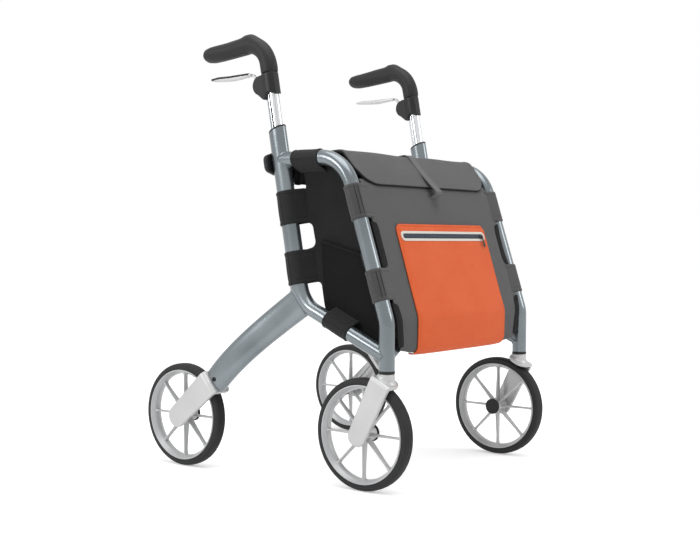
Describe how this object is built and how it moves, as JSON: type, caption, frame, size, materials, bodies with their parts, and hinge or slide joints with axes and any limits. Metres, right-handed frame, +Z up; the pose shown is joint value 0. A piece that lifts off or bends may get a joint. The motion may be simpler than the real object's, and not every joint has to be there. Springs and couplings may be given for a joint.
{
  "type": "shopping rollator",
  "caption": "Folding walking aid with tube side frames, height-adjustable handles with brakes, swivelling front wheels and a shopping bag with lid.",
  "frame": {"origin": "middle of the bounding box's bottom face, on the floor between the four wheels", "axes": "+Z up, -Y towards the front where the bag is, +Y towards the user, +X to the right for someone who looks at the front"},
  "size_m": [0.57, 0.616, 0.8283],
  "materials": {
    "frame_paint": "satin metallic grey-blue",
    "satin_silver": "satin light grey, cast",
    "rim_silver": "satin silver grey, moulded",
    "polished_tube": "polished",
    "tyre_rubber": "matt black",
    "grip_rubber": "matt black",
    "black_plastic": "satin black",
    "steel": "plain",
    "grey_fabric": "dark grey woven",
    "lid_fabric": "grey woven",
    "strap_webbing": "light grey webbing",
    "black_fabric": "black woven",
    "black_mesh": "black net",
    "orange_fabric": "orange woven",
    "zip_surround": "pale, welded on",
    "zip_tape": "dark blue-grey"
  },
  "bodies": {
    "frame_left": {"main_tube_left": "frame_paint", "loop_tube_left": "frame_paint", "rear_leg_left": "frame_paint", "tube_collar_left": "black_plastic", "leg_screw_left": "black_plastic", "bearing_ring_left": "black_plastic", "rear_fork_left": "satin_silver", "rear_axle_left": "black_plastic", "brace_bracket_left": "frame_paint", "brace_saddle_left": "black_plastic", "side_panel_left": "black_fabric", "mesh_pocket_left": "black_mesh", "bag_front": "grey_fabric", "bag_body": "black_fabric", "pocket_panel": "orange_fabric", "zip_surround": "zip_surround", "zip_chain": "zip_tape"},
    "frame_right": {"main_tube_right": "frame_paint", "loop_tube_right": "frame_paint", "rear_leg_right": "frame_paint", "tube_collar_right": "black_plastic", "leg_screw_right": "black_plastic", "bearing_ring_right": "black_plastic", "rear_fork_right": "satin_silver", "rear_axle_right": "black_plastic", "brace_bracket_right": "frame_paint", "brace_saddle_right": "black_plastic", "side_panel_right": "black_fabric", "mesh_pocket_right": "black_mesh"},
    "brace_a": {"brace_bar_a": "steel", "brace_pin": "steel"},
    "brace_b": {"brace_bar_b": "steel"},
    "handle_left": {"inner_tube_left": "polished_tube", "grip_left": "grip_rubber", "brake_housing_left": "black_plastic"},
    "lever_left": {"brake_lever_left": "satin_silver"},
    "knob_left": {"height_knob_left": "black_plastic"},
    "pad_left": {"brake_pad_left": "black_plastic"},
    "caster_left": {"front_fork_left": "satin_silver", "front_axle_left": "black_plastic"},
    "front_wheel_left": {"front_rim_left": "rim_silver", "front_tyre_left": "tyre_rubber"},
    "rear_wheel_left": {"rear_rim_left": "rim_silver", "rear_tyre_left": "tyre_rubber"},
    "handle_right": {"inner_tube_right": "polished_tube", "grip_right": "grip_rubber", "brake_housing_right": "black_plastic"},
    "lever_right": {"brake_lever_right": "satin_silver"},
    "knob_right": {"height_knob_right": "black_plastic"},
    "pad_right": {"brake_pad_right": "black_plastic"},
    "caster_right": {"front_fork_right": "satin_silver", "front_axle_right": "black_plastic"},
    "front_wheel_right": {"front_rim_right": "rim_silver", "front_tyre_right": "tyre_rubber"},
    "rear_wheel_right": {"rear_rim_right": "rim_silver", "rear_tyre_right": "tyre_rubber"},
    "lid": {"lid": "lid_fabric", "lid_strap": "strap_webbing"},
    "zip_slider": {"zip_slider": "steel"}
  },
  "joints": [
    {"name": "fold", "type": "hinge", "parent": "frame_left", "child": "brace_a", "pos_m": [-0.195, -0.24535, 0.252], "axis": [0, -0.9511, 0.309], "range_deg": [0, 33], "deforming": ["bag_front", "bag_body", "lid", "lid_strap", "pocket_panel", "zip_surround", "zip_chain", "zip_slider"]},
    {"name": "fold_crossing", "type": "hinge", "parent": "brace_a", "child": "brace_b", "pos_m": [0, -0.22027, 0.3292], "axis": [0, -0.9511, 0.309], "range_deg": [-66, 0]},
    {"name": "fold_right_side", "type": "hinge", "parent": "brace_b", "child": "frame_right", "pos_m": [0.195, -0.24535, 0.252], "axis": [0, -0.9511, 0.309], "range_deg": [0, 33]},
    {"name": "handle_height_left", "type": "slide", "parent": "frame_left", "child": "handle_left", "axis": [0, 0.181, 0.9835], "range_m": [-0.05, 0.07]},
    {"name": "height_knob_left", "type": "hinge", "parent": "frame_left", "child": "knob_left", "pos_m": [-0.228, -0.01405, 0.587], "axis": [0, 0.9835, -0.181], "range_deg": [0, 360]},
    {"name": "brake_lever_left", "type": "hinge", "parent": "handle_left", "child": "lever_left", "pos_m": [-0.228, 0.038, 0.733], "axis": [1, 0, 0], "range_deg": [0, 14], "stiffness_Nm_per_rad": 2, "springref_deg": -1.15},
    {"name": "brake_pad_left", "type": "slide", "parent": "frame_left", "child": "pad_left", "axis": [0, 0.766, -0.6428], "range_m": [0, 0.0018]},
    {"name": "caster_swivel_left", "type": "hinge", "parent": "frame_left", "child": "caster_left", "pos_m": [-0.228, -0.257, 0.2146], "axis": [0, 0, 1], "continuous": true},
    {"name": "front_wheel_spin_left", "type": "hinge", "parent": "caster_left", "child": "front_wheel_left", "pos_m": [-0.228, -0.208, 0.1], "axis": [1, 0, 0], "continuous": true},
    {"name": "rear_wheel_spin_left", "type": "hinge", "parent": "frame_left", "child": "rear_wheel_left", "pos_m": [-0.262, 0.208, 0.1], "axis": [1, 0, 0], "continuous": true},
    {"name": "handle_height_right", "type": "slide", "parent": "frame_right", "child": "handle_right", "axis": [0, 0.181, 0.9835], "range_m": [-0.05, 0.07]},
    {"name": "height_knob_right", "type": "hinge", "parent": "frame_right", "child": "knob_right", "pos_m": [0.228, -0.01405, 0.587], "axis": [0, 0.9835, -0.181], "range_deg": [0, 360]},
    {"name": "brake_lever_right", "type": "hinge", "parent": "handle_right", "child": "lever_right", "pos_m": [0.228, 0.038, 0.733], "axis": [1, 0, 0], "range_deg": [0, 14], "stiffness_Nm_per_rad": 2, "springref_deg": -1.15},
    {"name": "brake_pad_right", "type": "slide", "parent": "frame_right", "child": "pad_right", "axis": [0, 0.766, -0.6428], "range_m": [0, 0.0018]},
    {"name": "caster_swivel_right", "type": "hinge", "parent": "frame_right", "child": "caster_right", "pos_m": [0.228, -0.257, 0.2146], "axis": [0, 0, 1], "continuous": true},
    {"name": "front_wheel_spin_right", "type": "hinge", "parent": "caster_right", "child": "front_wheel_right", "pos_m": [0.228, -0.208, 0.1], "axis": [1, 0, 0], "continuous": true},
    {"name": "rear_wheel_spin_right", "type": "hinge", "parent": "frame_right", "child": "rear_wheel_right", "pos_m": [0.262, 0.208, 0.1], "axis": [1, 0, 0], "continuous": true},
    {"name": "lid_hinge", "type": "hinge", "parent": "frame_left", "child": "lid", "pos_m": [0, -0.075, 0.597], "axis": [-1, 0, 0], "range_deg": [0, 115]},
    {"name": "zip_slide", "type": "slide", "parent": "frame_left", "child": "zip_slider", "axis": [-1, 0, 0], "range_m": [0, 0.25]}
  ],
  "couplings": [
    {"joint": "fold_crossing", "follows": "fold", "ratio": -2},
    {"joint": "fold_right_side", "follows": "fold", "ratio": 1},
    {"joint": "brake_pad_left", "follows": "brake_lever_left", "m_per_rad": 0.00736},
    {"joint": "brake_pad_right", "follows": "brake_lever_right", "m_per_rad": 0.00736}
  ]
}
